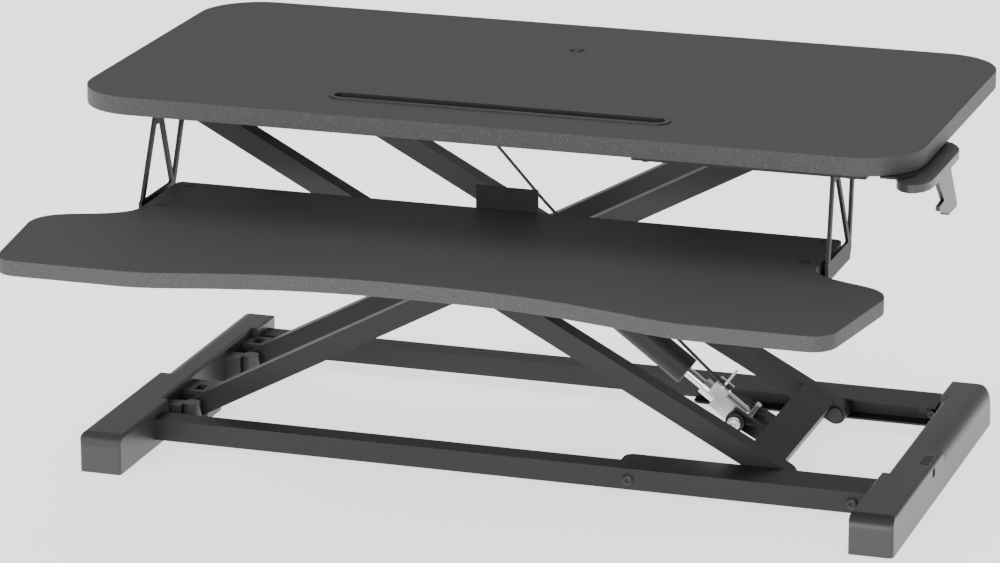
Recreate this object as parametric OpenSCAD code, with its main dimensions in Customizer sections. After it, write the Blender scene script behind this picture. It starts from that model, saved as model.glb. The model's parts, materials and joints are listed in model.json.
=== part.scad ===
// Standing desk converter: a worktop and keyboard tray on an X-shaped lift.
// X runs left to right, Y from front to back, Z up. The parts are drawn about
// the middle of the feet, then moved so that the origin is on the ground at the
// middle of the whole object's footprint. Lengths are in millimetres.

/* [Worktop] */
// Width of the worktop and of the keyboard tray
top_w = 800; // [780:5:820]
// Depth of the worktop
top_d = 400; // [380:5:420]
// Thickness of the worktop
top_t = 17; // [15:0.5:20]
// Corner radius of the worktop
top_r = 60; // [30:5:80]
// Height of the worktop's upper face in the drawn pose
top_z = 367.5; // [360:0.5:400]

/* [Keyboard tray] */
// Height of the tray's upper face in the drawn pose
tray_z = 269.5; // [260:0.5:275]
// Thickness of the tray
tray_t = 14.5; // [12:0.5:18]
// Y of the tray's rear edge
tray_rear = -124; // [-130:1:-120]
// Half width of the narrow rear part of the tray
tray_neck = 321; // [315:1:325]
// Distance of each hanger's outer face from the centre plane
hanger_x = 329; // [327:1:332]

/* [Base] */
// Half width over the two feet
foot_out = 394; // [390:1:400]
// Distance of the feet's inner faces from the centre plane
foot_in = 352; // [350:1:354]
// Front to back length of a foot
foot_len = 416; // [410:2:430]
// Height of a foot cover
foot_h = 38.5; // [36:0.5:42]
// Height of the rails above the ground
rail_z = 8.5; // [7:0.5:10]
// Height of a rail and of a roller track
rail_h = 20.5; // [20:0.5:22]
// Depth of a rail
rail_d = 24; // [20:1:24]
// Y of the front rail's front face
front_rail_y = -120; // [-122:1:-118]
// Y of the rear rail's front face
rear_rail_y = 168; // [166:1:170]

/* [Lift] */
// X of the fixed pivots at the left end
pivot_x = -343; // [-345:1:-341]
// X of the rollers at the right end in the drawn pose
roller_x = 256; // [250:1:262]
// Side of the square arm tubes
tube = 20; // [18:1:20]
// Wall of the square arm tubes
tube_wall = 1.8; // [1.2:0.1:2.5]
// Outer width of the outer arm frame
outer_w = 223; // [222:0.5:223]
// Outer width of the inner arm frame
inner_w = 180; // [178:0.5:180]

/* [Gas spring] */
// Outer diameter of the gas spring's cylinder
gas_d = 28; // [26:1:28]
// Diameter of the gas spring's rod
gas_rod_d = 10; // [8:1:10]

/* [Hidden] */
$fn = 48;

steel = "dimgray";
plastic = "darkslategray";
silver = "silver";

// Lift geometry: both frames are the same length and cross at their middles.
top_under = top_z - top_t;
axis_low = rail_z + rail_h / 2;
axis_high = top_under - 1.5 - rail_h / 2;
span = roller_x - pivot_x;
rise = axis_high - axis_low;
theta = atan2(rise, span);
arm_len = sqrt(span * span + rise * rise);
mid_x = (roller_x + pivot_x) / 2;
mid_z = (axis_low + axis_high) / 2;

// Front to back layout: rail, track, outer frame, inner frame.
mid_y = (front_rail_y + rear_rail_y + rail_d) / 2;
track_d = 19.8;
out_f = mid_y - outer_w / 2;
out_r = mid_y + outer_w / 2;
in_f = mid_y - inner_w / 2;
in_r = mid_y + inner_w / 2;
track_x0 = 106;
track_x1 = 350;
top_track_gap = 1;

// Pins, rollers and bolts.
pin_r = 5;
bore_r = 5.05;
axle_r = 4;
roller_bore_r = 4.05;
roller_r = 7.9;
roller_w = 14;
tongue_w = 12;

// Gas spring: the lower pin is on the outer frame, the upper on the inner frame.
gas_low = [185.5, 38.5];
gas_high = [-50, 212.8];
gas_dx = gas_high[0] - gas_low[0];
gas_dz = gas_high[1] - gas_low[1];
gas_len = sqrt(gas_dx * gas_dx + gas_dz * gas_dz);
gas_ang = atan2(gas_dz, gas_dx);
gas_mouth = 66;
gas_bore_d = 24;
head_len = 46;

// Release handle under the right edge of the worktop.
lever_x = 408;
lever_z = 342.5;
lever_y0 = -144;
lever_y1 = -86;

// Route of the release cable, from the lever to the gas spring's head.
cable_r = 1.5;
CABLE = [[395, -125, 343], [384, -125, 344], [372, -124, 345.5], [350, -122, 346.6],
    [300, -116, 346.8], [200, -110, 346.8], [125, -106, 346.8], [88, -102, 346.8], [30, -85, 346.8],
    [-40, -60, 346.8], [-100, -30, 346.8], [-140, -5, 346.8], [-150, 20, 346.8], [-135, 36, 345.5],
    [-118, 42, 340], [-100, 42, 325.5], [-78, 42, 302], [-55, 42, 278], [-37, 42, 258.5],
    [-10, 42, 229.5], [24, 42, 197], [60, 42, 163.5], [98, 42, 128.7], [134, 42, 95.8],
    [158, 42, 74.4], [176.5, 42, 61.1], [189.1, 42, 51.8], [198.3, 42, 44.9]];

// ---- helpers ----

grip_out = 416;
tray_front = -418;
module placed() translate([(top_w / 2 - grip_out) / 2, -(tray_front + foot_len / 2) / 2, 0]) children();

module block(lo, hi) translate(lo) cube([hi[0] - lo[0], hi[1] - lo[1], hi[2] - lo[2]]);

module pin_y(x, z, y0, y1, r) translate([x, y0, z]) rotate([-90, 0, 0]) cylinder(r = r, h = y1 - y0);

// Moves the drawing frame so that X runs along an arm from the crossing point.
module along(tilt) translate([mid_x, 0, mid_z]) rotate([0, tilt, 0]) children();

// A square tube along X from s0 to s1, with its front face at y0.
module square_tube(s0, s1, y0) difference() {
    block([s0, y0, -tube / 2], [s1, y0 + tube, tube / 2]);
    block([s0 - 1, y0 + tube_wall, tube_wall - tube / 2],
        [s1 + 1, y0 + tube - tube_wall, tube / 2 - tube_wall]);
}

// A round eye at an arm's end, with a square root that plugs into the tube.
module arm_eye(s, dir, y0) {
    plug = tube - 2 * tube_wall;
    difference() {
        union() {
            pin_y(s, 0, y0, y0 + tube, tube / 2);
            translate([dir > 0 ? s - tube / 2 : s, y0, -tube / 2]) cube([tube / 2, tube, tube]);
            translate([dir > 0 ? s - 34 : s, y0 + tube_wall, -plug / 2]) cube([34, plug, plug]);
        }
        pin_y(s, 0, y0 - 1, y0 + tube + 1, bore_r);
    }
}

function bezier(a, b, c, d, n) = [for (i = [0:n - 1]) let (t = i / n, u = 1 - t)
    u * u * u * a + 3 * u * u * t * b + 3 * u * t * t * c + t * t * t * d];

function arc(cx, cy, r, a0, a1, n) = [for (i = [0:n]) let (a = a0 + (a1 - a0) * i / n)
    [cx + r * cos(a), cy + r * sin(a)]];

// ---- feet ----

// Cross-section of a foot over X and Z: outer side at +X, corner radius r.
module foot_section(r, shoulder, inner) {
    polygon(concat([[inner, 1], [foot_out, 1]],
        [[foot_out - shoulder * 0.1, foot_h - shoulder]],
        arc(foot_out - shoulder * 0.1 - r, foot_h - r, r, 0, 90, 10),
        [[inner + 3, foot_h]], arc(inner + 3, foot_h - 3, 3, 90, 180, 5)));
}

// The same section pulled in by w on all sides but the open underside.
module foot_hollow(r, inner, w) {
    polygon(concat([[inner + w, 0], [foot_out - w - 1, 0]],
        arc(foot_out - w - 2 - r, foot_h - w - r, r, 0, 90, 10), [[inner + w, foot_h - w]]));
}

// Runs a section along Y.
module run_y(y0, y1) translate([0, y1, 0]) rotate([90, 0, 0]) linear_extrude(y1 - y0) children();

foot_y0 = -foot_len / 2;
foot_y1 = foot_len / 2;
shoulder_y = -8;
waist_y0 = -84;
waist_y1 = 158;
waist_in = foot_in + 6.7;
foot_wall = 2.4;

module foot_solid() union() {
    run_y(foot_y0, waist_y0) foot_section(4, 4, foot_in);
    run_y(waist_y0, shoulder_y) foot_section(4, 4, waist_in);
    run_y(shoulder_y, waist_y1) foot_section(17, 17, waist_in);
    run_y(waist_y1, foot_y1) foot_section(17, 17, foot_in);
}

module foot_inside() union() {
    run_y(foot_y0 + foot_wall, waist_y0 - foot_wall) foot_hollow(3, foot_in, foot_wall);
    run_y(waist_y0 - 3, shoulder_y - foot_wall) foot_hollow(3, waist_in, foot_wall);
    run_y(shoulder_y - 2.5, waist_y1 + 3) foot_hollow(15, waist_in, foot_wall);
    run_y(waist_y1 + foot_wall, foot_y1 - foot_wall) foot_hollow(15, foot_in, foot_wall);
}

// Side outline over Y and Z, rounded at the upper edges of both ends, pulled in by w.
module foot_profile(w) rotate([90, 0, 90]) translate([0, 0, foot_in - 5])
    linear_extrude(foot_out - foot_in + 10) polygon(concat(
        [[foot_y0 + w, -1], [foot_y1 - w, -1]],
        arc(foot_y1 - 5, foot_h - 5, 5 - w, 0, 90, 6),
        arc(foot_y0 + 14, foot_h - 14, 14 - w, 90, 180, 12)));

// Plan outline with rounded corners, the widest at the outer rear, pulled in by w.
edge_r = 3;
front_r = 5;
rear_r = 14;
module foot_plan(w) translate([0, 0, -2]) linear_extrude(foot_h + 4) polygon(concat(
    arc(foot_in + edge_r, foot_y0 + edge_r, edge_r - w, 180, 270, 4),
    arc(foot_out - front_r, foot_y0 + front_r, front_r - w, 270, 360, 6),
    arc(foot_out - rear_r, foot_y1 - rear_r, rear_r - w, 0, 90, 10),
    arc(foot_in + edge_r, foot_y1 - edge_r, edge_r - w, 90, 180, 4)));

// Slits and a square port on the right foot's shoulder.
module foot_vents() {
    for (i = [0:4]) block([380, -50.2 + i * 5.5, 36.5], [388.5, -47.8 + i * 5.5, 40]);
    block([388.5, -52, 26.5], [396, -43, 34.5]);
}

// Openings in the inner wall for the rails, and for the pivot lugs on the left.
module foot_windows(lugs) {
    for (y = [front_rail_y, rear_rail_y])
        block([foot_in - 1, y - 0.4, rail_z - 0.4], [foot_in + 4, y + rail_d + 0.4, rail_z + rail_h + 0.4]);
    if (lugs) for (y = lug_y)
        block([foot_in - 1, y - 0.4, rail_z - 0.4], [foot_in + 10, y + 4.4, rail_z + rail_h + 0.4]);
}

module foot_cover(side) color(plastic) placed() mirror([side < 0 ? 1 : 0, 0, 0]) difference() {
    intersection() {
        foot_solid();
        foot_profile(0);
        foot_plan(0);
    }
    intersection() {
        foot_inside();
        foot_profile(foot_wall);
        foot_plan(foot_wall);
    }
    foot_windows(side < 0);
    if (side > 0) foot_vents();
}

module left_foot_cover() foot_cover(-1);
module right_foot_cover() foot_cover(1);

bar_in = waist_in + foot_wall + 0.9;

// Steel C-bar inside a foot, open downwards.
module foot_bar(side) color(steel) placed() mirror([side < 0 ? 1 : 0, 0, 0]) difference() {
    block([bar_in, foot_y0 + 12, rail_z], [386, foot_y1 - 12, rail_z + 16]);
    block([bar_in + 2, foot_y0 + 10, rail_z - 1], [384, foot_y1 - 10, rail_z + 14]);
}

module left_foot_bar() foot_bar(-1);
module right_foot_bar() foot_bar(1);

module rubber_feet() color("black") placed() for (x = [-374, 374], y = [-165, 165]) {
    translate([x, y, 0]) cylinder(r1 = 9, r2 = 9.5, h = rail_z);
    translate([x, y, rail_z]) cylinder(r = 6, h = 14);
}

// ---- rails and base tracks ----

module rail(y) color(steel) placed() difference() {
    block([-bar_in, y, rail_z], [bar_in, y + rail_d, rail_z + rail_h]);
    block([-bar_in - 1, y + 1.5, rail_z + 1.5], [bar_in + 1, y + rail_d - 1.5, rail_z + rail_h - 1.5]);
    for (x = bolt_x) pin_y(x, bolt_z, y - 1, y + rail_d + 1, 3.1);
}

bolt_x = [120, 334];
bolt_z = rail_z + rail_h / 2 - 0.5;

module front_rail() rail(front_rail_y);
module rear_rail() rail(rear_rail_y);

// A U-channel for the rollers, with its back at y and its mouth towards dir.
module track(y, dir, z, x0, x1, bolts) difference() {
    y_far = y + dir * track_d;
    block([x0, min(y, y_far), z], [x1, max(y, y_far), z + rail_h]);
    block([x0 - 1, min(y + dir * 2, y_far + dir * 2), z + 2],
        [x1 + 1, max(y + dir * 2, y_far + dir * 2), z + rail_h - 2]);
    // Rounded corner of the flanges at the channel's left end.
    translate([x0, y_far - dir * 9, z - 1]) difference() {
        translate([-1, dir > 0 ? 0 : -10, 0]) cube([10, 10, rail_h + 2]);
        translate([9, 0, -1]) cylinder(r = 9, h = rail_h + 4);
    }
    for (x = bolts) pin_y(x, z + rail_h / 2 - 0.5, y - 3, y + 3, 3.1);
}

module front_base_track() color(steel) placed()
    track(front_rail_y + rail_d, 1, rail_z, track_x0, track_x1, bolt_x);
module rear_base_track() color(steel) placed()
    track(rear_rail_y, -1, rail_z, track_x0, track_x1, bolt_x);

// Bolts through rail and track: the head is outside, a low round nut in the track.
module track_bolts() color("black") placed() for (x = bolt_x) {
    pin_y(x, bolt_z, front_rail_y - 3, front_rail_y, 6);
    pin_y(x, bolt_z, front_rail_y, front_rail_y + rail_d + 2, 3);
    pin_y(x, bolt_z, front_rail_y + rail_d + 2, front_rail_y + rail_d + 2.8, 4.5);
    pin_y(x, bolt_z, rear_rail_y + rail_d, rear_rail_y + rail_d + 3, 6);
    pin_y(x, bolt_z, rear_rail_y - 2, rear_rail_y + rail_d, 3);
    pin_y(x, bolt_z, rear_rail_y - 2.8, rear_rail_y - 2, 4.5);
}

// Stop studs that end the rollers' travel.
stop_x = 344;
module track_stop_screws() color("gray") placed() {
    pin_y(stop_x, axis_low, front_rail_y + rail_d + 2, front_rail_y + rail_d + 12, 2.5);
    pin_y(stop_x, axis_low, front_rail_y + rail_d + 12, front_rail_y + rail_d + 14, 4);
    pin_y(stop_x, axis_low, rear_rail_y - 12, rear_rail_y - 2, 2.5);
    pin_y(stop_x, axis_low, rear_rail_y - 14, rear_rail_y - 12, 4);
}

// ---- left-hand base pivots ----

// Steel lugs on the foot bar, one behind each inner arm.
lug_y = [in_f + tube + 0.6, in_r + 0.6];
module base_pivot_lugs() color(steel) placed() for (y = lug_y) difference() {
    union() {
        block([-bar_in, y, rail_z], [pivot_x, y + 4, rail_z + rail_h]);
        pin_y(pivot_x, axis_low, y, y + 4, rail_h / 2);
    }
    pin_y(pivot_x, axis_low, y - 1, y + 5, pin_r);
}

module base_pivot_pins() color("black") placed() for (y = [in_f, in_r - tube]) {
    pin_y(pivot_x, axis_low, y - 0.6, y + tube + 4.6, pin_r);
    pin_y(pivot_x, axis_low, y - 3, y - 0.6, 7);
}

// Plastic housing behind a base pivot, with a tapered boss in front of it.
module pivot_housing(y) color(plastic) placed() difference() {
    union() {
        // Boss in front of the arm's end, on a foot that runs under the arm.
        translate([-335, y - 13, 1]) cylinder(r1 = 9.6, r2 = 8.2, h = 31);
        block([-waist_in, y - 22, 1], [-343, y - 4.5, 30]);
        block([-waist_in, y - 21, 1], [-336, y - 5, 12]);
        block([-waist_in, y - 21, 1], [-346, y + tube + 6, 7]);
        // Body behind the lug.
        block([-waist_in, y + tube + 5.4, 1], [-334, min(y + 61.5, waist_y1 - 0.5), 30]);
    }
    // Pocket with a screw tab.
    difference() {
        block([-350, y + 31, 14], [-341, y + 47, 31]);
        block([-347, y + 37, 13], [-343, y + 42, 25]);
    }
}

module pivot_housing_front() pivot_housing(in_f);
module pivot_housing_rear() pivot_housing(in_r - tube);

// ---- inner arm frame: lower left to upper right ----

module inner_arm(y0) color(steel) placed() difference() {
    union() {
        // The tube ends in an upright cut beside the pivot.
        difference() {
            along(-theta) square_tube(-arm_len / 2 + 4, arm_len / 2 - 10, y0);
            block([-400, y0 - 1, -20], [pivot_x + 12, y0 + tube + 1, 80]);
        }
        along(-theta) arm_eye(arm_len / 2, 1, y0);
        // Tongue welded inside the tube, with the pivot's eye.
        along(-theta) translate([0, (tube - tongue_w) / 2, 0]) {
            pin_y(-arm_len / 2, 0, y0, y0 + tongue_w, 9);
            block([-arm_len / 2, y0, tube_wall - tube / 2 - 0.2],
                [-arm_len / 2 + 45, y0 + tongue_w, tube / 2 - tube_wall + 0.2]);
        }
    }
    pin_y(pivot_x, axis_low, y0 - 1, y0 + tube + 1, bore_r);
    pin_y(mid_x, mid_z, y0 - 1, y0 + tube + 1, bore_r);
}

module inner_arm_front() inner_arm(in_f);
module inner_arm_rear() inner_arm(in_r - tube);

// A square tube across a frame at distance s from the crossing point.
module crossbar(tilt, s, w, h, y0, y1) along(tilt) difference() {
    block([s - w / 2, y0, -h / 2], [s + w / 2, y1, h / 2]);
    block([s - w / 2 + 1.8, y0 - 1, 1.8 - h / 2], [s + w / 2 - 1.8, y1 + 1, h / 2 - 1.8]);
}

module inner_upper_crossbar() color(steel) placed()
    crossbar(-theta, 290, 20, 16, in_f + tube, in_r - tube);

// Crossbar near the middle with two ears that hold the gas spring's upper end.
anchor_s = -34;
ear_y = 17;
module gas_anchor_bar() color(steel) placed() {
    crossbar(-theta, anchor_s, 20, 16, in_f + tube, in_r - tube);
    for (y = [mid_y - ear_y - 4, mid_y + ear_y]) difference() {
        union() {
            pin_y(gas_high[0], gas_high[1], y, y + 4, 10);
            translate([gas_high[0], y, gas_high[1]]) rotate([0, ear_tilt, 0])
                translate([-10, 0, -ear_reach]) cube([20, 4, ear_reach]);
        }
        pin_y(gas_high[0], gas_high[1], y - 1, y + 5, pin_r);
    }
}

anchor_x = mid_x + anchor_s * cos(theta);
anchor_z = mid_z + anchor_s * sin(theta);
ear_tilt = atan2(gas_high[0] - anchor_x, gas_high[1] - anchor_z);
ear_reach = norm([gas_high[0] - anchor_x, gas_high[1] - anchor_z]) - 8;

module gas_upper_pin() color(silver) placed() {
    pin_y(gas_high[0], gas_high[1], mid_y - ear_y - 5, mid_y + ear_y + 5, pin_r);
    pin_y(gas_high[0], gas_high[1], mid_y - ear_y - 8, mid_y - ear_y - 5, 7.5);
    pin_y(gas_high[0], gas_high[1], mid_y + ear_y + 5, mid_y + ear_y + 8, 7.5);
}

// Axles on the outer faces of the inner frame, at its upper right end.
module top_roller_axles() color(silver) placed() {
    pin_y(roller_x, axis_high, in_f - 17, in_f + tube, axle_r);
    pin_y(roller_x, axis_high, in_f + tube, in_f + tube + 3, 7);
    pin_y(roller_x, axis_high, in_r - tube, in_r + 17, axle_r);
    pin_y(roller_x, axis_high, in_r - tube - 3, in_r - tube, 7);
}

// ---- outer arm frame: upper left to lower right ----

module outer_arm(y0) color(steel) placed() difference() {
    along(theta) union() {
        square_tube(-arm_len / 2 + 10, arm_len / 2 - 10, y0);
        arm_eye(arm_len / 2, 1, y0);
        arm_eye(-arm_len / 2, -1, y0);
    }
    pin_y(mid_x, mid_z, y0 - 1, y0 + tube + 1, bore_r);
}

module outer_arm_front() outer_arm(out_f);
module outer_arm_rear() outer_arm(out_r - tube);

// Flat box section that ties the outer frame together near the rollers.
plate_s = 315;
module outer_cross_plate() color(steel) placed()
    crossbar(theta, plate_s, 34, 20, out_f + tube, out_r - tube);
module outer_upper_crossbar() color(steel) placed()
    crossbar(theta, -302, 20, 16, out_f + tube, out_r - tube);

// Two ears below the cross plate that hold the gas spring's lower bolt.
module gas_foot_bracket() color(steel) placed() for (y = [mid_y - 19, mid_y + 15]) difference() {
    union() {
        pin_y(gas_low[0], gas_low[1], y, y + 4, 10);
        along(theta) block([plate_s - 54, y, -20], [plate_s - 17, y + 4, -4]);
    }
    pin_y(gas_low[0], gas_low[1], y - 1, y + 5, pin_r);
}

module gas_lower_bolt() color(silver) placed() {
    pin_y(gas_low[0], gas_low[1], mid_y - 20, mid_y + 20, pin_r);
    pin_y(gas_low[0], gas_low[1], mid_y - 25, mid_y - 20, 7.5);
    pin_y(gas_low[0], gas_low[1], mid_y + 20, mid_y + 25, 7.5);
}

module base_roller_axles() color(silver) placed() {
    pin_y(roller_x, axis_low, out_f - 17, out_f + tube, axle_r);
    pin_y(roller_x, axis_low, out_f + tube, out_f + tube + 3, 7);
    pin_y(roller_x, axis_low, out_r - tube, out_r + 17, axle_r);
    pin_y(roller_x, axis_low, out_r - tube - 3, out_r - tube, 7);
}

// Bolts where the frames cross, held in the outer tubes.
module centre_pivot_bolts() color("black") placed() {
    pin_y(mid_x, mid_z, out_f, in_f + tube + 2, pin_r);
    pin_y(mid_x, mid_z, out_f - 4, out_f, 8);
    pin_y(mid_x, mid_z, in_f + tube + 0.4, in_f + tube + 6, 8);
    pin_y(mid_x, mid_z, in_r - tube - 2, out_r, pin_r);
    pin_y(mid_x, mid_z, out_r, out_r + 4, 8);
    pin_y(mid_x, mid_z, in_r - tube - 6, in_r - tube - 0.4, 8);
}

// Nylon washers between the two frames.
module centre_pivot_bushes() color("ivory") placed() for (y = [out_f + tube, in_r + 0.3]) difference() {
    pin_y(mid_x, mid_z, y, y + 1.2, 9);
    pin_y(mid_x, mid_z, y - 1, y + 3, bore_r);
}

// ---- rollers ----

module roller(z, y0) color("black") placed() difference() {
    union() {
        pin_y(roller_x, z, y0, y0 + roller_w, roller_r);
        pin_y(roller_x, z, y0 - 1, y0 + roller_w + 1, 6);
    }
    pin_y(roller_x, z, y0 - 2, y0 + roller_w + 2, roller_bore_r);
}

module base_roller_front() roller(axis_low, out_f - 16.3);
module base_roller_rear() roller(axis_low, out_r + 2.3);
module top_roller_front() roller(axis_high, in_f - 16.3);
module top_roller_rear() roller(axis_high, in_r + 2.3);

// ---- worktop ----

module rounded_plate(w, d, r, z0, z1) translate([0, 0, z0]) union() {
    translate([-w / 2 + r, -d / 2, 0]) cube([w - 2 * r, d, z1 - z0]);
    translate([-w / 2, -d / 2 + r, 0]) cube([w, d - 2 * r, z1 - z0]);
    for (x = [-w / 2 + r, w / 2 - r], y = [-d / 2 + r, d / 2 - r])
        translate([x, y, 0]) cylinder(r = r, h = z1 - z0, $fn = 96);
}

slot_y = -132.5;
slot_x = -2.5;
slot_half = 163;
slot_rim = 1.2;
module slot_shape(grow, z0, z1) translate([slot_x, slot_y, z0]) {
    translate([-slot_half + 13, -13 - grow, 0])
        cube([2 * slot_half - 26, 26 + 2 * grow, z1 - z0]);
    for (x = [-slot_half + 13, slot_half - 13])
        translate([x, 0, 0]) cylinder(r = 13 + grow, h = z1 - z0);
}

module top_board() color("gray") placed() difference() {
    rounded_plate(top_w, top_d, top_r, top_under, top_z);
    slot_shape(1, top_z - 10, top_z + 1);
    translate([0, 103, top_z - 9]) cylinder(r = 7, h = 10);
}

// Groove liner that holds a tablet upright, with a raised rim.
module tablet_slot() color("black") placed() difference() {
    union() {
        slot_shape(1, top_z - 10, top_z);
        slot_shape(0.5, top_z, top_z + slot_rim);
    }
    slot_shape(-4.5, top_z - 7, top_z + 3);
}

module cable_hole_cap() color("black") placed() {
    translate([0, 103, top_z]) cylinder(r1 = 7, r2 = 6, h = 1.5);
    translate([0, 103, top_z - 9]) cylinder(r = 7, h = 9);
}

// ---- steel under the worktop ----

// A bracket of two ears and a plate over each upper end of the outer frame.
lid = 1.2;
module top_pivot_brackets() color(steel) placed() for (y = [out_f, out_r - tube]) difference() {
    union() {
        block([pivot_x - 35, y - 14, top_under - lid], [pivot_x + 35, y + tube + 14, top_under]);
        for (ear = [y - 4.6, y + tube + 0.6]) {
            block([pivot_x - 12, ear, axis_high], [pivot_x + 12, ear + 4, top_under - lid]);
            pin_y(pivot_x, axis_high, ear, ear + 4, 11);
        }
    }
    pin_y(pivot_x, axis_high, y - 6, y + tube + 6, pin_r);
}

module top_pivot_pins() color("black") placed() for (y = [out_f, out_r - tube]) {
    pin_y(pivot_x, axis_high, y - 4.6, y + tube + 4.6, pin_r);
    pin_y(pivot_x, axis_high, y - 7, y - 4.6, 8);
    pin_y(pivot_x, axis_high, y + tube + 4.6, y + tube + 7, 8);
}

top_track_z = top_under - 1.5 - rail_h;
top_lip = 13;

module top_track(y, dir) color(steel) placed() {
    track(y, dir, top_track_z, track_x0, track_x1, []);
    y0 = dir > 0 ? y - top_lip : y - track_d;
    block([track_x0, y0, top_under - 1.5], [track_x1, y0 + track_d + top_lip, top_under]);
}

module top_track_front() top_track(in_f - top_track_gap - track_d, 1);
module top_track_rear() top_track(in_r + top_track_gap + track_d, -1);

// Long flat stiffener under the front edge.
module top_frame_plate() color(steel) placed()
    block([143, -197, top_under - 3], [359, -183, top_under]);

// Low screw heads under the plates.
module frame_screws() color("black") placed() for (p = SCREWS)
    translate([p[0], p[1], p[2] - 1.8]) cylinder(r1 = 3.4, r2 = 4.2, h = 1.8);

SCREWS = concat(
    [for (x = [pivot_x - 26, pivot_x + 26], y = [out_f - 8, out_f + tube + 8,
        out_r - tube - 8, out_r + 8]) [x, y, top_under - lid]],
    [for (x = [track_x0 + 25, track_x1 - 20], y = [in_f - track_d - 8, in_r + track_d + 8])
        [x, y, top_under - 1.5]],
    [for (x = [155, 250, 345]) [x, -190, top_under - 3]]);

// ---- keyboard tray ----

tray_half = concat(
    bezier([0, -377], [90, -377], [130, -387], [180, -399.5], 10),
    bezier([180, -399.5], [215, -408.3], [235, tray_front], [270, tray_front], 8),
    bezier([361, tray_front], [376, tray_front], [384, -408], [386, -394], 8),
    bezier([top_w / 2, -296], [top_w / 2, -278], [392, -266], [372, -258.5], 8),
    bezier([372, -258.5], [348, -250], [tray_neck, -240], [tray_neck, -218], 10),
    [[tray_neck, -218], [tray_neck, tray_rear - 4], [tray_neck - 4, tray_rear]]);

module keyboard_tray() color("gray") placed() difference() {
    translate([0, 0, tray_z - tray_t]) linear_extrude(tray_t) polygon(concat(tray_half,
        [for (i = [len(tray_half) - 1:-1:1]) [-tray_half[i][0], tray_half[i][1]]]));
    for (p = TRAY_SCREWS) translate([p[0], p[1], tray_z - 3]) cylinder(r = 5, h = 4);
}

// A hanger is a bent flat frame: a bar beside the tray and three legs up to the worktop.
hanger_t = 3;
hang_low = tray_z - tray_t;

module leg(y0, z0, y1, z1, w) polygon([[y0 - w / 2, z0], [y0 + w / 2, z0],
    [y1 + w / 2, z1], [y1 - w / 2, z1]]);

module hanger_outline() {
    polygon([[-206, hang_low], [-126, hang_low], [-120, hang_low + 8], [-120, hang_low + 22],
        [-134, hang_low + 15], [-197, hang_low + 15], [-206, hang_low + 15]]);
    leg(-202, hang_low + 10, -172, top_under - 1, 7);
    leg(-163, top_under - 1, -127, hang_low + 14, 7);
    leg(-123, hang_low + 14, -98, top_under - 1, 7);
    polygon([[-176, top_under - 14], [-158, top_under - 14], [-158, top_under], [-176, top_under]]);
}

hanger_lean = 2.7;
module tray_hanger(side) color(steel) placed() mirror([side < 0 ? 1 : 0, 0, 0]) {
    // The frame leans in a little towards the worktop.
    translate([hanger_x, 0, hang_low]) rotate([0, -hanger_lean, 0])
        translate([-hanger_t, 0, -hang_low]) rotate([90, 0, 90])
        linear_extrude(hanger_t) hanger_outline();
    // Flange under the worktop.
    block([hanger_x - 26, -180, top_under - 2], [hanger_x - 3.5, -93, top_under]);
    // Shelf under the tray.
    block([hanger_x - 34, -206, hang_low - 2], [hanger_x, -126, hang_low]);
}

module tray_hanger_left() tray_hanger(-1);
module tray_hanger_right() tray_hanger(1);

TRAY_SCREWS = [for (x = [-306.5, 306.5], y = [-134, -204]) [x, y]];
module tray_screw_caps() color("black") placed() for (p = TRAY_SCREWS) {
    translate([p[0], p[1], tray_z - 3]) cylinder(r = 5, h = 3);
    translate([p[0], p[1], tray_z]) cylinder(r1 = 5, r2 = 4.2, h = 0.8);
}

// Upright plate at the rear edge that stops a keyboard from sliding off.
module tray_stop_plate() color("black") placed() difference() {
    block([-27, tray_rear - 14, hang_low - 2], [33, tray_rear + 3, tray_z + 21]);
    block([-28, tray_rear - 15, hang_low], [34, tray_rear, tray_z + 22]);
}

// ---- release handle ----

grip_top = top_under - 2;
grip_h = 7.5;
module handle_plate() color(steel) placed() difference() {
    translate([0, 0, grip_top]) linear_extrude(top_under - grip_top) polygon([
        [370, -192], [386, -192], [396, -180], [398, -170], [398, -52], [370, -52]]);
    for (y = [-184, -64]) translate([376, y, grip_top - 1]) cylinder(r = 2.6, h = 4);
}

// Slim housing under the worktop's edge, cut out around the lever's root.
module handle_grip() color(plastic) placed() difference() {
    translate([0, 0, grip_top - grip_h]) linear_extrude(grip_h) polygon([
        [384, -60], [384, -188], [387, -196], [392, -202.5], [399, -206], [406, -203.5],
        [411.5, -197], [415, -187], [grip_out, -172], [grip_out, -80], [414, -70], [410, -61],
        [404, -53], [396, -48], [388, -50]]);
    block([lever_x - 11, lever_y0 - 1, grip_top - grip_h - 1],
        [lever_x + 4, lever_y1 + 8, grip_top - 1.2]);
    // Channel for the cable.
    block([383, CABLE[0][1] - 3, grip_top - grip_h - 1], [lever_x - 10, CABLE[0][1] + 3, grip_top - 2]);
    pin_y(lever_x, lever_z, lever_y0 - 6, lever_y1 + 13, 2);
}

// Squeeze lever that hangs from its pin and sweeps back to a hooked tip.
module release_lever() color(plastic) placed() difference() {
    union() {
        pin_y(lever_x, lever_z, lever_y0, lever_y1, 4);
        translate([lever_x + 2, 0, 0]) rotate([0, -90, 0]) linear_extrude(4) polygon(concat(
            [[lever_z, lever_y0], [lever_z, lever_y1], [lever_z - 12, lever_y1 + 4]],
            [[lever_z - 50, lever_y1 + 32], [lever_z - 53, lever_y1 + 30]],
            [[lever_z - 50, lever_y1 - 4], [lever_z - 46, lever_y1 - 16],
                [lever_z - 38, lever_y1 - 40], [lever_z - 34, lever_y1 - 40],
                [lever_z - 33, lever_y1 - 22], [lever_z - 22, lever_y1 - 34]]));
        // Rolled lip along the lower edge.
        block([lever_x - 6, lever_y1 - 2, lever_z - 52], [lever_x + 2, lever_y1 + 28, lever_z - 48.5]);
    }
    pin_y(lever_x, lever_z, lever_y0 - 1, lever_y1 + 1, 2.05);
}

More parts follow.
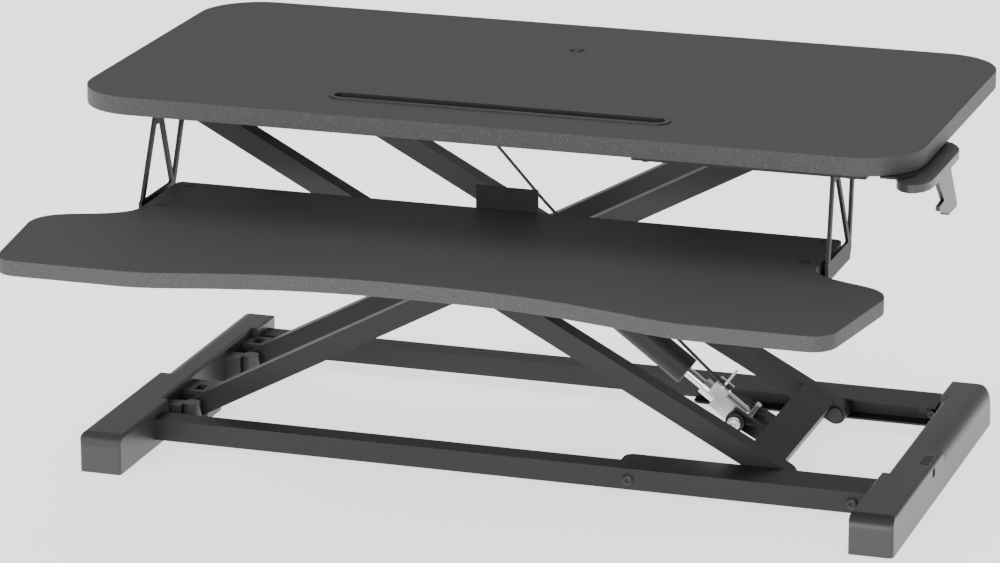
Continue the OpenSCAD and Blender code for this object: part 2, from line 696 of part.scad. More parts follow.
module lever_pin() color(silver) placed() pin_y(lever_x, lever_z, lever_y0 - 6, lever_y1 + 13, 2);

// Torsion spring around the pin.
function coil(r, turns, pitch, n) = [for (i = [0:turns * n])
    [r * cos(i * 360 / n), i * pitch / n, r * sin(i * 360 / n)]];
module lever_spring() color(silver) placed() translate([lever_x, lever_y1 + 1.2, lever_z])
    tube_along(concat([[3, 0, -6]], coil(3, 4, 1.3, 12), [[3, 5.2, 4]]), 0.45, 6);

// ---- release cable ----

// Points and directions along a smooth curve through the route.
function spline(p, i, t) = let (
    a = p[max(i - 1, 0)], b = p[i], c = p[i + 1], d = p[min(i + 2, len(p) - 1)])
    0.5 * (2 * b + (c - a) * t + (2 * a - 5 * b + 4 * c - d) * t * t
        + (3 * b - a - 3 * c + d) * t * t * t);
function route(p, n) = concat([for (i = [0:len(p) - 2], k = [0:n - 1]) spline(p, i, k / n)],
    [p[len(p) - 1]]);
function unit(v) = v / norm(v);

module tube_along(p, r, sides) {
    last = len(p) - 1;
    rings = [for (i = [0:last]) let (
        dir = unit(p[min(i + 1, last)] - p[max(i - 1, 0)]),
        u = unit(cross(dir, [0, 1, 0.1])), v = cross(dir, u))
        for (k = [0:sides - 1]) p[i] + r * (cos(k * 360 / sides) * u + sin(k * 360 / sides) * v)];
    walls = [for (i = [0:last - 1], k = [0:sides - 1]) let (n = (k + 1) % sides)
        [i * sides + k, (i + 1) * sides + k, (i + 1) * sides + n, i * sides + n]];
    ends = [[for (k = [0:sides - 1]) k],
        [for (k = [sides - 1:-1:0]) last * sides + k]];
    polyhedron(points = rings, faces = concat(walls, ends), convexity = 6);
}

module release_cable() color("black") placed() tube_along(route(CABLE, 3), cable_r, 8);

module cable_clips() color("black") placed() for (p = [[280, -115], [160, -108]]) difference() {
    block([p[0] - 5, p[1] - 7, top_under - 7], [p[0] + 5, p[1] + 7, top_under]);
    block([p[0] - 6, p[1] - 3.5, top_under - 5.5], [p[0] + 6, p[1] + 3.5, top_under - 0.8]);
}

// ---- gas spring ----

// Moves the drawing frame so that X runs from the lower pin to the upper pin.
module along_gas() translate([gas_low[0], mid_y, gas_low[1]])
    rotate([0, -gas_ang, 0]) rotate([180, 0, 0]) children();

// A cylinder along the gas spring from a to b.
module bar_x(a, b, r) translate([a, 0, 0]) rotate([0, 90, 0]) cylinder(r = r, h = b - a);

module gas_cylinder() color("black") placed() along_gas() difference() {
    union() {
        bar_x(gas_mouth, gas_len - 22, gas_d / 2);
        bar_x(gas_len - 24, gas_len - 6, 8);
        pin_y(gas_len, 0, -9, 9, 10);
    }
    bar_x(gas_mouth - 1, gas_mouth + 4, 9.2);
    bar_x(gas_mouth + 3, gas_len - 27, gas_bore_d / 2);
    pin_y(gas_len, 0, -10, 10, bore_r);
}

module gas_rod() color(silver) placed() along_gas() {
    bar_x(head_len, gas_len - 75, gas_rod_d / 2);
    bar_x(gas_len - 77, gas_len - 71, 7);
}

// Head that the rod screws into: an eye for the lower bolt and the valve's housing.
valve_x = 30;
valve_z = 8;
cable_side = mid_y - CABLE[len(CABLE) - 1][1];
cable_up = 12.8;
module gas_head() color(silver) placed() along_gas() difference() {
    union() {
        difference() {
            union() {
                pin_y(0, 0, -12, 12, 9);
                block([0, -9, -9], [30, 9, 9]);
                bar_x(30, head_len, 8);
            }
            // Seat of the valve's trigger.
            block([valve_x - 6, -8, 5], [valve_x + 6, 8, 10]);
        }
        // Cheeks for the valve's trigger, and a stop for the cable's sheath.
        for (y = [-11, 8]) block([valve_x - 8, y, 2], [valve_x + 8, y + 3, 15]);
        block([-9, cable_side - 4, 3], [-4, cable_side + 3.5, 19]);
    }
    pin_y(0, 0, -13, 13, bore_r);
    pin_y(valve_x, valve_z, -12, 12, 1.5);
    translate([-10, cable_side, cable_up]) rotate([0, 90, 0]) cylinder(r = 2.1, h = 7);
}

// Valve trigger between the head's cheeks.
module gas_trigger() color(silver) placed() along_gas() difference() {
    union() {
        pin_y(valve_x, valve_z, -11, 11, 1.45);
        pin_y(valve_x, valve_z, -3.5, 7.4, 2.4);
        block([valve_x - 1.2, -2, valve_z], [valve_x + 1.2, 3, valve_z + 25]);
    }
    translate([valve_x - 3, 0.5, valve_z + 21]) rotate([0, 90, 0]) cylinder(r = 1, h = 6);
}

left_foot_cover();
right_foot_cover();
left_foot_bar();
right_foot_bar();
rubber_feet();
front_rail();
rear_rail();
front_base_track();
rear_base_track();
track_bolts();
track_stop_screws();
base_pivot_lugs();
base_pivot_pins();
pivot_housing_front();
pivot_housing_rear();
inner_arm_front();
inner_arm_rear();
inner_upper_crossbar();
gas_anchor_bar();
gas_upper_pin();
top_roller_axles();
outer_arm_front();
outer_arm_rear();
outer_cross_plate();
outer_upper_crossbar();
gas_foot_bracket();
gas_lower_bolt();
base_roller_axles();
centre_pivot_bolts();
centre_pivot_bushes();
base_roller_front();
base_roller_rear();
top_roller_front();
top_roller_rear();
top_board();
tablet_slot();
cable_hole_cap();
top_pivot_brackets();
top_pivot_pins();
top_track_front();
top_track_rear();
top_frame_plate();
frame_screws();
keyboard_tray();
tray_hanger_left();
tray_hanger_right();
tray_screw_caps();
tray_stop_plate();
handle_plate();
handle_grip();
release_lever();
lever_pin();
lever_spring();
release_cable();
cable_clips();
gas_cylinder();
gas_rod();
gas_head();
gas_trigger();
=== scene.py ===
"""Looks of a standing desk converter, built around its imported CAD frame.

Places are in metres in the row frame: X to the right, Y to the back, Z up. Turned profiles, edge
roundings and the cable's route are in millimetres, and MM turns them into metres.
"""

import json
import math

import bmesh
import bpy
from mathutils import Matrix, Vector


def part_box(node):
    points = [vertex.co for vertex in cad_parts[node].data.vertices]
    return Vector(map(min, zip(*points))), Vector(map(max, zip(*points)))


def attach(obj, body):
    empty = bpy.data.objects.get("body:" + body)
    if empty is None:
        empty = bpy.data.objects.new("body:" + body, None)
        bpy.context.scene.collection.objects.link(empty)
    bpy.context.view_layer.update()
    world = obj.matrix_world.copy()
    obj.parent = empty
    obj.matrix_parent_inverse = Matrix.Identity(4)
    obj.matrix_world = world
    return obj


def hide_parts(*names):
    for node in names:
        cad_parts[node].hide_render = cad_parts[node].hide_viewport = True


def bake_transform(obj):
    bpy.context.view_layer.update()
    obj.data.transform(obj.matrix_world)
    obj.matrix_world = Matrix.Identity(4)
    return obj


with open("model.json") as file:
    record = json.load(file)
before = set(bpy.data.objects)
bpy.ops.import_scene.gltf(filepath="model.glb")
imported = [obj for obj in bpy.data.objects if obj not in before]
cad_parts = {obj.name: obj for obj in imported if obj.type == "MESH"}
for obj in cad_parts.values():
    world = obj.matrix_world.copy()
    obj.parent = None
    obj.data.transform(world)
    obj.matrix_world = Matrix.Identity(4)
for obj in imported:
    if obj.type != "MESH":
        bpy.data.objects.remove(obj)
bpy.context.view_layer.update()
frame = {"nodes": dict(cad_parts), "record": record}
MM = 0.001
UP = (0, 0, 1)
FRONT = (0, -1, 0)
BACK = (0, 1, 0)


# ---- stage ----

LENS = 173.4
SENSOR_WIDTH = 36.0
FARTHEST_SEEN = 60.0
CAMERA_PLACE = (1.3085, -4.0777, 1.4754)
CAMERA_TARGET = (-0.0502, 0.1001, 0.1627)
WORLD_STRENGTH = 0.5
FLOOR_HALF = 14.0
FLOOR_GLOW = 1.5


def aim(thing, target):
    direction = Vector(target) - thing.location
    thing.rotation_euler = direction.to_track_quat("-Z", "Y").to_euler()


def make_camera():
    data = bpy.data.cameras.new("camera")
    data.lens = LENS
    data.sensor_width = SENSOR_WIDTH
    data.clip_end = FARTHEST_SEEN
    camera = bpy.data.objects.new("camera", data)
    bpy.context.scene.collection.objects.link(camera)
    camera.location = CAMERA_PLACE
    aim(camera, CAMERA_TARGET)
    bpy.context.scene.camera = camera


def softbox(name, place, target, size, power):
    data = bpy.data.lights.new(name, "AREA")
    data.shape = "RECTANGLE"
    data.size, data.size_y = size
    data.energy = power
    light = bpy.data.objects.new(name, data)
    bpy.context.scene.collection.objects.link(light)
    light.location = place
    aim(light, target)


def make_lights():
    softbox("front", place=(0.2, -4.6, 1.3), target=(0, 0, 0.2), size=(3.4, 1.8), power=140)
    softbox("left", place=(-2.6, -2.4, 2.6), target=(0, 0, 0.2), size=(1.8, 1.8), power=40)
    softbox("top", place=(0.3, 0.9, 3.4), target=(0, 0, 0.3), size=(2.6, 1.8), power=34)
    world = bpy.data.worlds.new("world")
    bpy.context.scene.world = world
    world.use_nodes = True
    background = world.node_tree.nodes["Background"]
    background.inputs["Color"].default_value = (1.0, 1.0, 1.0, 1)
    background.inputs["Strength"].default_value = WORLD_STRENGTH


def make_floor():
    """White floor that glows a little, towards the photograph's white background."""
    half = FLOOR_HALF
    corners = [(-half, -half, 0), (half, -half, 0), (half, half, 0), (-half, half, 0)]
    mesh = bpy.data.meshes.new("floor")
    mesh.from_pydata(corners, [], [(0, 1, 2, 3)])
    floor = bpy.data.objects.new("floor", mesh)
    bpy.context.scene.collection.objects.link(floor)
    material = bpy.data.materials.new("floor_white")
    material.use_nodes = True
    shader = material.node_tree.nodes["Principled BSDF"]
    shader.inputs["Base Color"].default_value = (0.9, 0.9, 0.9, 1)
    shader.inputs["Roughness"].default_value = 0.8
    shader.inputs["Emission Color"].default_value = (1.0, 1.0, 1.0, 1)
    shader.inputs["Emission Strength"].default_value = FLOOR_GLOW
    mesh.materials.append(material)


# ---- materials ----

class Graph:
    """Small helper that adds and links nodes in one material."""

    def __init__(self, name):
        self.material = bpy.data.materials.new(name)
        self.material.use_nodes = True
        self.tree = self.material.node_tree
        self.shader = self.tree.nodes["Principled BSDF"]
        self.coords = self.tree.nodes.new("ShaderNodeTexCoord").outputs["Object"]

    def fill(self, socket, value):
        """Links another node's output to a socket, or puts a constant on it."""
        if isinstance(value, bpy.types.NodeSocket):
            self.tree.links.new(value, socket)
        else:
            socket.default_value = value

    def node(self, kind, **inputs):
        made = self.tree.nodes.new(kind)
        for name, value in inputs.items():
            self.fill(made.inputs[name.replace("_", " ")], value)
        return made

    def noise(self, scale, detail=2.0, roughness=0.5, stretch=None):
        vector = self.coords
        if stretch:
            mapping = self.node("ShaderNodeMapping", Vector=vector, Scale=stretch)
            vector = mapping.outputs["Vector"]
        made = self.node("ShaderNodeTexNoise", Vector=vector, Scale=scale, Detail=detail,
                         Roughness=roughness)
        return made.outputs["Fac"]

    def ramp(self, value, low, high, start=0.35, end=0.65):
        """Spreads the stretch from start to end over low to high."""
        made = self.node("ShaderNodeMapRange", Value=value, From_Min=start, From_Max=end,
                         To_Min=low, To_Max=high)
        return made.outputs["Result"]

    def cloud(self, scale, detail=1.0, stretch=None):
        """Slow patches, from 0 to 1."""
        return self.ramp(self.noise(scale, detail, stretch=stretch), 0.0, 1.0, start=0.2, end=0.8)

    def mix(self, factor, first, second):
        made = self.node("ShaderNodeMix")
        made.data_type = "RGBA"
        self.fill(made.inputs[0], factor)
        self.fill(made.inputs[6], first)
        self.fill(made.inputs[7], second)
        return made.outputs[2]

    def bump(self, height, distance):
        return self.node("ShaderNodeBump", Height=height, Distance=distance).outputs["Normal"]

    def shade(self, name, value):
        self.fill(self.shader.inputs[name], value)


def grey(value, tint=0.0):
    """A grey that a positive tint turns towards blue and a negative one towards red."""
    return (value * (1 - tint), value, value * (1 + tint), 1)


def laminate(name, dark, light, speck, grain):
    """Pebbled foil on the boards: fine specks and an orange-peel relief."""
    g = Graph(name)
    tone = g.mix(g.cloud(3.0), grey(dark, -0.012), grey(light, -0.012))
    specks = g.ramp(g.noise(1100.0, detail=1.0, roughness=0.6), 0.0, 1.0, start=0.55, end=0.8)
    g.shade("Base Color", g.mix(specks, tone, grey(speck)))
    g.shade("Roughness", g.ramp(g.noise(500.0), 0.55, 0.61))
    g.shade("Normal", g.bump(g.noise(520.0), grain))
    g.shade("Specular IOR Level", 0.42)
    return g.material


def powder_coat(name, dark, light, roughness):
    """Black powder coat on steel: a fine pebble with slight gloss changes."""
    g = Graph(name)
    tone = g.mix(g.cloud(4.0), grey(dark, 0.01), grey(light, 0.01))
    dust = g.ramp(g.noise(1400.0, detail=1.0), 0.0, 0.3, start=0.62, end=0.8)
    g.shade("Base Color", g.mix(dust, tone, grey(light * 2.0)))
    g.shade("Roughness", g.ramp(g.noise(900.0), roughness - 0.03, roughness + 0.04))
    g.shade("Normal", g.bump(g.noise(1500.0), 0.00004))
    g.shade("Specular IOR Level", 0.34)
    return g.material


def moulded(name, dark, light, roughness):
    """Moulded plastic with a spark-eroded texture and faint flow marks."""
    g = Graph(name)
    flow = g.cloud(5.0, stretch=(1.0, 0.35, 1.0))
    g.shade("Base Color", g.mix(flow, grey(dark), grey(light)))
    g.shade("Roughness", g.ramp(g.noise(900.0), roughness - 0.02, roughness + 0.04))
    g.shade("Normal", g.bump(g.noise(1800.0, roughness=0.6), 0.00004))
    return g.material


def rubber(name):
    """Matt black rubber, a little dusty."""
    g = Graph(name)
    dust = g.ramp(g.noise(120.0, detail=4.0), 0.0, 1.0)
    g.shade("Base Color", g.mix(dust, grey(0.018), grey(0.035)))
    g.shade("Roughness", g.ramp(g.noise(400.0), 0.78, 0.92))
    g.shade("Normal", g.bump(g.noise(900.0), 0.0001))
    return g.material


def drawn_metal(name, value, roughness, stretch):
    """Plated or ground steel, with fine lines along the axis that stretch leaves at 1."""
    g = Graph(name)
    patch = g.cloud(90.0, detail=2.0)
    g.shade("Base Color", g.mix(patch, grey(value * 0.9, 0.01), grey(value, 0.01)))
    g.shade("Metallic", 1.0)
    lines = g.noise(900.0, roughness=0.6, stretch=stretch)
    g.shade("Roughness", g.ramp(lines, roughness - 0.04, roughness + 0.08))
    g.shade("Normal", g.bump(lines, 0.00002))
    return g.material


def satin_paint(name):
    """Satin black paint on the gas spring's cylinder."""
    g = Graph(name)
    g.shade("Base Color", g.mix(g.cloud(12.0), grey(0.014), grey(0.019)))
    g.shade("Roughness", g.ramp(g.noise(700.0), 0.5, 0.58))
    g.shade("Normal", g.bump(g.noise(1200.0, detail=1.0), 0.00001))
    return g.material


def nylon(name):
    """Natural nylon, off-white and slightly see-through."""
    g = Graph(name)
    patch = g.ramp(g.noise(80.0, detail=3.0), 0.0, 1.0)
    g.shade("Base Color", g.mix(patch, (0.62, 0.6, 0.54, 1), (0.72, 0.70, 0.64, 1)))
    g.shade("Roughness", g.ramp(g.noise(300.0), 0.4, 0.52))
    g.shade("Subsurface Weight", 0.1)
    return g.material


MATERIALS = {
    "board_face": laminate("board_face", dark=0.041, light=0.044, speck=0.066, grain=0.00010),
    # The edge copy is lighter: partly the edge banding's own foil, partly painted light on the boards'
    # sides.
    "edge_band_and_painted_light": laminate("edge_band_and_painted_light", dark=0.044, light=0.050, speck=0.12, grain=0.00014),
    "steel": powder_coat("black_steel", dark=0.0135, light=0.016, roughness=0.46),
    "plate_black": powder_coat("plate_black", dark=0.006, light=0.008, roughness=0.55),
    "plastic": moulded("grey_plastic", dark=0.031, light=0.034, roughness=0.36),
    "dark_plastic": moulded("black_plastic", dark=0.018, light=0.021, roughness=0.44),
    "cable_skin": moulded("cable_skin", dark=0.014, light=0.018, roughness=0.5),
    "rubber": rubber("black_rubber"),
    "zinc": drawn_metal("zinc_steel", value=0.85, roughness=0.24, stretch=(1.0, 9.0, 9.0)),
    "chrome": drawn_metal("drawn_rod", value=0.9, roughness=0.12, stretch=(9.0, 1.0, 9.0)),
    "black_screw": powder_coat("black_screw", dark=0.020, light=0.024, roughness=0.34),
    "gas_black": satin_paint("gas_black"),
    "nylon": nylon("nylon"),
}


# ---- pieces ----

BODY_OF = {node: body for body, nodes in frame["record"]["behaviour"]["bodies"].items()
           for node in nodes}

SAME_PLACE = 2e-6
FLAT_WITHIN = math.radians(1.0)
EDGE_ABOVE = math.radians(28)
LEVEL_FACE = 0.9


def mesh_of(bm, name, sharp_above):
    """A smooth-shaded mesh of finished geometry, with sharp edges above an angle in degrees."""
    mesh = bpy.data.meshes.new(name)
    bm.to_mesh(mesh)
    bm.free()
    for polygon in mesh.polygons:
        polygon.use_smooth = True
    mesh.set_sharp_from_angle(angle=math.radians(sharp_above))
    return mesh


def add_piece(name, mesh, body, materials, stands_for=()):
    """Makes an object of a finished mesh, rides it on a body and hides what it stands for.

    A piece given no body is left unattached.
    """
    piece = bpy.data.objects.new(name, mesh)
    bpy.context.scene.collection.objects.link(piece)
    for material in materials:
        mesh.materials.append(MATERIALS[material])
    if body:
        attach(piece, body)
    if stands_for:
        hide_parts(*stands_for)
    return piece


def even_shading(piece):
    """Lets the large faces set the normals, so that flats stay flat beside rounded edges."""
    modifier = piece.modifiers.new("weighted_normals", "WEIGHTED_NORMAL")
    modifier.keep_sharp = True
    modifier.weight = 100


def softened(node, material, width, segments=2, side=None):
    """A copy of a CAD node with its true edges rounded off, in place of the node.

    width is in mm. side names a second material, for the faces that don't look straight up or down.
    """
    bm = bmesh.new()
    bm.from_mesh(frame["nodes"][node].data)
    bmesh.ops.remove_doubles(bm, verts=bm.verts, dist=SAME_PLACE)
    bmesh.ops.dissolve_limit(bm, angle_limit=FLAT_WITHIN, verts=bm.verts, edges=bm.edges)
    sharp = [edge for edge in bm.edges
             if len(edge.link_faces) == 2 and edge.calc_face_angle(0) > EDGE_ABOVE]
    bmesh.ops.bevel(bm, geom=sharp, offset=width * MM, offset_type="OFFSET", segments=segments,
                    profile=0.5, affect="EDGES", clamp_overlap=True)
    bm.normal_update()
    # Faces that turn sideways take the second material; on the boards it is the lighter edge copy, which
    # partly paints light on their sides.
    if side:
        for face in bm.faces:
            face.material_index = int(abs(face.normal.z) < LEVEL_FACE)
    mesh = mesh_of(bm, node + "_finish", 32)
    materials = (material, side) if side else (material,)
    even_shading(add_piece(node + "_finish", mesh, BODY_OF[node], materials, (node,)))


# ---- turned pieces ----

WASHER_HEIGHT = 0.9
BREAK = 0.3
PIT_DEPTH = 0.9
DOME_STEPS = 6
DOME_TURN = math.radians(72)


def middle_of(box):
    low, high = box
    return (Vector(low) + Vector(high)) / 2


def hexagon(angle, flat):
    """Distance from the middle to a hexagon's side in that direction."""
    return flat / math.cos(angle % (math.pi / 3) - math.pi / 6)


def turn(bm, profile, start, direction, sides=36):
    """Turns a profile round a line. Its points are a radius and a height, and "hex" for a hexagon."""
    to_line = Vector(direction).to_track_quat("Z", "Y").to_matrix()
    rings = []
    for radius, height, *kind in profile:
        ring = []
        for k in range(sides):
            angle = 2 * math.pi * k / sides
            reach = hexagon(angle, radius) if kind else radius
            spot = Vector((reach * math.cos(angle), reach * math.sin(angle), height)) * MM
            ring.append(bm.verts.new(Vector(start) + to_line @ spot))
        rings.append(ring)
    for lower, upper in zip(rings, rings[1:]):
        for k in range(sides):
            n = (k + 1) % sides
            bm.faces.new((lower[k], lower[n], upper[n], upper[k]))
    bm.faces.new(reversed(rings[0]))
    bm.faces.new(rings[-1])


def dome(radius, height, socket, base=0.6, washer=0.0):
    """Profile of a button head with a hexagon socket, on a washer if washer is its radius."""
    if washer:
        points = [(washer - BREAK, 0.0), (washer, 0.25), (washer, 0.7),
                  (washer - BREAK, WASHER_HEIGHT), (radius, WASHER_HEIGHT)]
        base += WASHER_HEIGHT
    else:
        points = [(radius, 0.0)]
    rim = socket * 1.3
    for k in range(DOME_STEPS + 1):
        angle = DOME_TURN * k / DOME_STEPS
        rise = (height - base) * math.sin(angle) / math.sin(DOME_TURN)
        points.append((rim + (radius - rim) * math.cos(angle), base + rise))
    socket_floor = height * 0.45
    points += [(socket * 1.12, height), (socket, height - 0.15, "hex"), (socket, socket_floor, "hex"),
               (socket * 0.3, socket_floor - BREAK)]
    return points


def shank(radius, length):
    """Profile of a plain round bar with broken edges."""
    return [(radius - BREAK, 0.0), (radius, BREAK), (radius, length - BREAK), (radius - BREAK, length)]


def disc(radius, length, edge, pit=0.0):
    """Profile of a flat head with rounded edges, and a turned pit if pit is its radius."""
    points = [(radius - edge, 0.0), (radius - edge * 0.3, edge * 0.3), (radius, edge),
              (radius, length - edge), (radius - edge * 0.3, length - edge * 0.3),
              (radius - edge, length)]
    if pit:
        points += [(pit + BREAK, length), (pit, length - BREAK), (pit * 0.4, length - PIT_DEPTH)]
    return points


def nut(flat, side, end, length):
    """Profile of a hexagon nut that narrows to a round end."""
    return [(flat - 0.2, 0.0, "hex"), (flat, 0.4, "hex"), (flat, side, "hex"), (end, length)]


def turned_piece(node, material, turns):
    """One piece of several turned shapes, in place of a CAD node."""
    bm = bmesh.new()
    for profile, start, direction in turns:
        turn(bm, profile, start, direction)
    mesh = mesh_of(bm, node + "_turned", 40)
    even_shading(add_piece(node + "_turned", mesh, BODY_OF[node], (material,), (node,)))


def make_track_bolts():
    """Button heads on washers outside both rails, with a washer inside."""
    head, washer, length = 3.0, 6.0, 26.0
    low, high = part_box("track_bolts")
    z = (low[2] + high[2]) / 2
    rows = ((low[1] + head * MM, FRONT, BACK), (high[1] - head * MM, BACK, FRONT))
    turns = []
    for x in (low[0] + washer * MM, high[0] - washer * MM):
        for y, outwards, inwards in rows:
            inside = y + length * MM * inwards[1]
            turns += [(dome(5.4, head, socket=1.9, washer=washer), (x, y, z), outwards),
                      (shank(3.0, length), (x, y, z), inwards),
                      (disc(4.5, 0.8, edge=0.3), (x, inside, z), inwards)]
    turned_piece("track_bolts", "black_screw", turns)


def make_stop_screws():
    """Screws that end a track, with a round head inside."""
    length = 10.0
    low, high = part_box("track_stop_screws")
    x, z = (low[0] + high[0]) / 2, (low[2] + high[2]) / 2
    turns = []
    for y, inwards in ((low[1], BACK), (high[1], FRONT)):
        inside = y + length * MM * inwards[1]
        turns += [(shank(2.5, length), (x, y, z), inwards),
                  (disc(4.0, 2.0, edge=0.4, pit=1.4), (x, inside, z), inwards)]
    turned_piece("track_stop_screws", "black_screw", turns)


def make_centre_bolts():
    """Button heads outside the X's crossings, with a washer and a nut past the inner arms."""
    head, past_arm, washer, nut_length = 4.0, 2.0, 1.2, 4.4
    low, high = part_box("centre_pivot_bolts")
    x, z = (low[0] + high[0]) / 2, (low[2] + high[2]) / 2
    length = (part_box("inner_arm_front")[1][1] - low[1]) / MM + past_arm
    ends = ((low[1] + head * MM, FRONT, BACK), (high[1] - head * MM, BACK, FRONT))
    turns = []
    for y, outwards, inwards in ends:
        inside = y + (length - washer - nut_length) * MM * inwards[1]
        on_washer = inside + washer * MM * inwards[1]
        turns += [(dome(8.0, head, socket=3.0, base=1.0), (x, y, z), outwards),
                  (shank(5.0, length - head), (x, y, z), inwards),
                  (disc(8.0, washer, edge=0.3), (x, inside, z), inwards),
                  (nut(flat=6.2, side=4.0, end=5.6, length=nut_length), (x, on_washer, z), inwards)]
    turned_piece("centre_pivot_bolts", "black_screw", turns)


def make_lower_bolt():
    """Socket head bolt through the gas spring's eye, with a nut behind."""
    head, nut_room = 5.0, 5.0
    low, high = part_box("gas_lower_bolt")
    x, z = (low[0] + high[0]) / 2, (low[2] + high[2]) / 2
    under_head = (x, low[1] + head * MM, z)
    behind = (x, high[1] - nut_room * MM, z)
    turned_piece("gas_lower_bolt", "zinc", [
        (disc(6.6, head, edge=0.8, pit=3.4), under_head, FRONT),
        (shank(5.0, 40.0), under_head, BACK),
        (nut(flat=6.8, side=4.4, end=6.0, length=4.9), behind, BACK)])


def make_bolt_spacer():
    """Black spacer under the lower bolt's head."""
    from_head = 5.1
    low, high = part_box("gas_lower_bolt")
    start = ((low[0] + high[0]) / 2, low[1] + from_head * MM, (low[2] + high[2]) / 2)
    bm = bmesh.new()
    turn(bm, disc(9.4, 1.8, edge=0.4), start, FRONT)
    mesh = mesh_of(bm, "gas_bolt_spacer", 40)
    add_piece("gas_bolt_spacer", mesh, "outer_frame", ("black_screw",))


def make_round_caps():
    """Caps over the tray's screws and in the worktop's cable hole."""
    radius = 5.0
    tray_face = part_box("keyboard_tray")[1][2]
    low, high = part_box("tray_screw_caps")
    lid = [(radius, 0.0), (radius, 0.3), (4.6, 0.7), (4.1, 0.8), (2.6, 0.8), (2.3, 0.55), (0.4, 0.5)]
    spots = [(x, y, tray_face) for x in (low[0] + radius * MM, high[0] - radius * MM)
             for y in (low[1] + radius * MM, high[1] - radius * MM)]
    turned_piece("tray_screw_caps", "dark_plastic", [(lid, spot, UP) for spot in spots])
    low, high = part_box("cable_hole_cap")
    middle = ((low[0] + high[0]) / 2, (low[1] + high[1]) / 2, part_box("top_board")[1][2])
    cap = [(7.0, -2.0), (7.0, 0.5), (6.6, 1.2), (5.8, 1.5), (3.9, 1.5), (3.6, 1.2), (0.4, 1.1)]
    turned_piece("cable_hole_cap", "dark_plastic", [(cap, middle, UP)])


def make_gas_cylinder():
    """Cylinder with two raised rings near its mouth."""
    softened("gas_cylinder", "gas_black", 1.2, 3)
    upper = middle_of(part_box("gas_upper_pin"))
    lower = middle_of(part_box("gas_lower_bolt"))
    way = (upper - lower).normalized()
    bm = bmesh.new()
    for from_bolt, radius in ((66.8, 13.7), (72.5, 14.25)):
        ring = [(radius - 1.0, -0.9), (radius - 0.1, -0.7), (radius, 0.0), (radius - 0.1, 0.7),
                (radius - 1.0, 0.9)]
        turn(bm, ring, lower + way * from_bolt * MM, way, sides=48)
    mesh = mesh_of(bm, "gas_cylinder_collar", 40)
    add_piece("gas_cylinder_collar", mesh, "gas_tube", ("gas_black",))


# ---- cable ----

# Its route, from the lever to the gas spring's head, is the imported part's, and so is the shift
# from the part's drawing to the row frame.
SHIFT = Vector((-8, 105, 0))
CABLE = [(395, -125, 343), (384, -125, 344), (372, -124, 345.5), (350, -122, 346.6),
         (300, -116, 346.8), (200, -110, 346.8), (125, -106, 346.8), (88, -102, 346.8), (30, -85, 346.8),
         (-40, -60, 346.8), (-100, -30, 346.8), (-140, -5, 346.8), (-150, 20, 346.8), (-135, 36, 345.5),
         (-118, 42, 340), (-100, 42, 325.5), (-78, 42, 302), (-55, 42, 278), (-37, 42, 258.5),
         (-10, 42, 229.5), (24, 42, 197), (60, 42, 163.5), (98, 42, 128.7), (134, 42, 95.8),
         (158, 42, 74.4), (176.5, 42, 61.1), (189.1, 42, 51.8), (198.3, 42, 44.9)]
CABLE_RADIUS = 1.5
CABLE_STEPS = 5
CABLE_SIDES = 12
# The cable never runs this way, so that its cross-sections never flip.
ASIDE = Vector((0, 1, 0.1))


def curve_through(points, steps):
    """Points along a smooth curve through a route."""
    last = len(points) - 1
    made = []
    for i in range(last):
        a, b = points[max(i - 1, 0)], points[i]
        c, d = points[i + 1], points[min(i + 2, last)]
        for k in range(steps):
            t = k / steps
            made.append(0.5 * (2 * b + (c - a) * t + (2 * a - 5 * b + 4 * c - d) * t * t
                               + (3 * b - a - 3 * c + d) * t ** 3))
    made.append(points[last])
    return made


def sweep(bm, points, radius, sides):
    """A closed round tube along points."""
    rings = []
    for i, point in enumerate(points):
        along = (points[min(i + 1, len(points) - 1)] - points[max(i - 1, 0)]).normalized()
        across = along.cross(ASIDE).normalized()
        up = along.cross(across)
        rings.append([bm.verts.new(point + radius * (math.cos(angle) * across + math.sin(angle) * up))
                      for angle in (2 * math.pi * k / sides for k in range(sides))])
    for lower, upper in zip(rings, rings[1:]):
        for k in range(sides):
            n = (k + 1) % sides
            bm.faces.new((lower[k], upper[k], upper[n], lower[n]))
    bm.faces.new(rings[0])
    bm.faces.new(reversed(rings[-1]))


def make_cable():
    """Release cable between the worktop and the outer frame, on no body."""
    points = [(Vector(point) + SHIFT) * MM for point in CABLE]
    bm = bmesh.new()
    sweep(bm, curve_through(points, CABLE_STEPS), CABLE_RADIUS * MM, CABLE_SIDES)
    mesh = mesh_of(bm, "release_cable_skin", 60)
    cable = add_piece("release_cable_skin", mesh, None,
                      ("cable_skin",), ("release_cable",))
    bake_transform(cable)


# ---- rounded copies ----

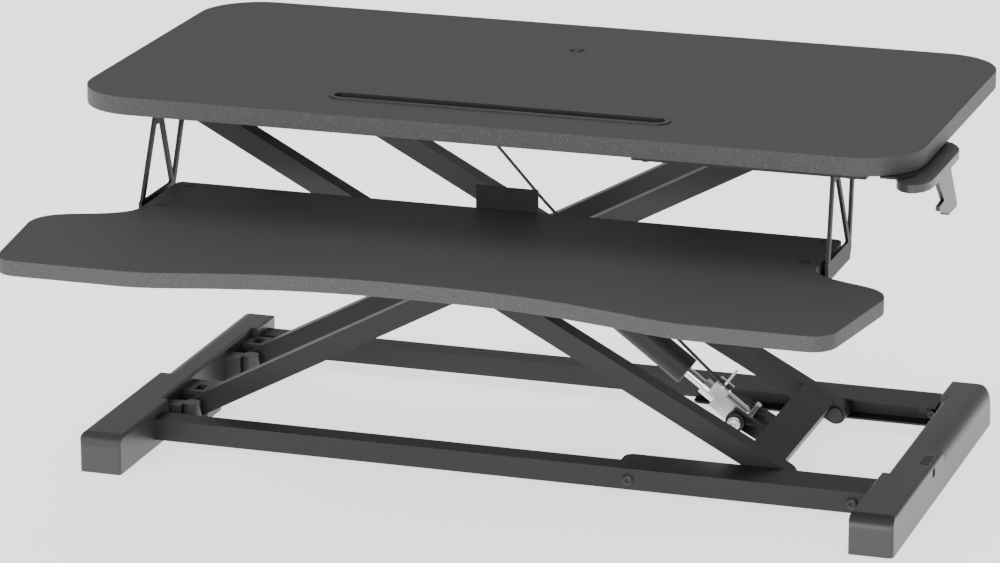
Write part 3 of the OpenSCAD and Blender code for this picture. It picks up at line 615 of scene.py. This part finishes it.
# The material of each piece that is a rounded copy of its CAD node, and its rounding in mm.
PLAIN = {
    "left_foot_cover": ("plastic", 1.0), "right_foot_cover": ("plastic", 1.0),
    "left_foot_bar": ("steel", 0.4), "right_foot_bar": ("steel", 0.4),
    "rubber_feet": ("rubber", 0.6),
    "front_rail": ("steel", 1.2), "rear_rail": ("steel", 1.2),
    "front_base_track": ("steel", 0.5), "rear_base_track": ("steel", 0.5),
    "base_pivot_lugs": ("steel", 0.5), "base_pivot_pins": ("black_screw", 0.5),
    "pivot_housing_front": ("plastic", 1.2), "pivot_housing_rear": ("plastic", 1.2),
    "inner_arm_front": ("steel", 1.6), "inner_arm_rear": ("steel", 1.6),
    "inner_upper_crossbar": ("steel", 0.8), "gas_anchor_bar": ("steel", 0.6),
    "gas_upper_pin": ("zinc", 0.5), "top_roller_axles": ("black_screw", 0.5),
    "outer_arm_front": ("steel", 1.6), "outer_arm_rear": ("steel", 1.6),
    "outer_cross_plate": ("steel", 0.8), "outer_upper_crossbar": ("steel", 0.8),
    "gas_foot_bracket": ("steel", 0.5), "base_roller_axles": ("black_screw", 0.5),
    "centre_pivot_bushes": ("nylon", 0.2),
    "base_roller_front": ("dark_plastic", 0.6), "base_roller_rear": ("dark_plastic", 0.6),
    "top_roller_front": ("dark_plastic", 0.6), "top_roller_rear": ("dark_plastic", 0.6),
    "tablet_slot": ("dark_plastic", 0.5), "top_pivot_brackets": ("steel", 0.3),
    "top_pivot_pins": ("black_screw", 0.5), "top_track_front": ("steel", 0.3),
    "top_track_rear": ("steel", 0.3), "top_frame_plate": ("steel", 0.4),
    "frame_screws": ("black_screw", 0.3), "tray_hanger_left": ("plate_black", 0.5),
    "tray_hanger_right": ("plate_black", 0.5), "tray_stop_plate": ("plate_black", 0.5),
    "handle_plate": ("steel", 0.3), "handle_grip": ("plastic", 0.8),
    "release_lever": ("plastic", 0.6), "lever_pin": ("zinc", 0.2),
    "lever_spring": ("zinc", 0.0), "cable_clips": ("dark_plastic", 0.3),
    "gas_rod": ("chrome", 0.4), "gas_head": ("zinc", 0.5), "gas_trigger": ("zinc", 0.3),
}


make_camera()
make_lights()
make_floor()
make_cable()
for node, (material, width) in PLAIN.items():
    softened(node, material, width)
# The boards' sides take the lighter edge copy: their banding's own foil, made lighter as painted light.
softened("top_board", "board_face", 1.4, 3, "edge_band_and_painted_light")
softened("keyboard_tray", "board_face", 1.4, 3, "edge_band_and_painted_light")
make_track_bolts()
make_stop_screws()
make_centre_bolts()
make_lower_bolt()
make_bolt_spacer()
make_round_caps()
make_gas_cylinder()
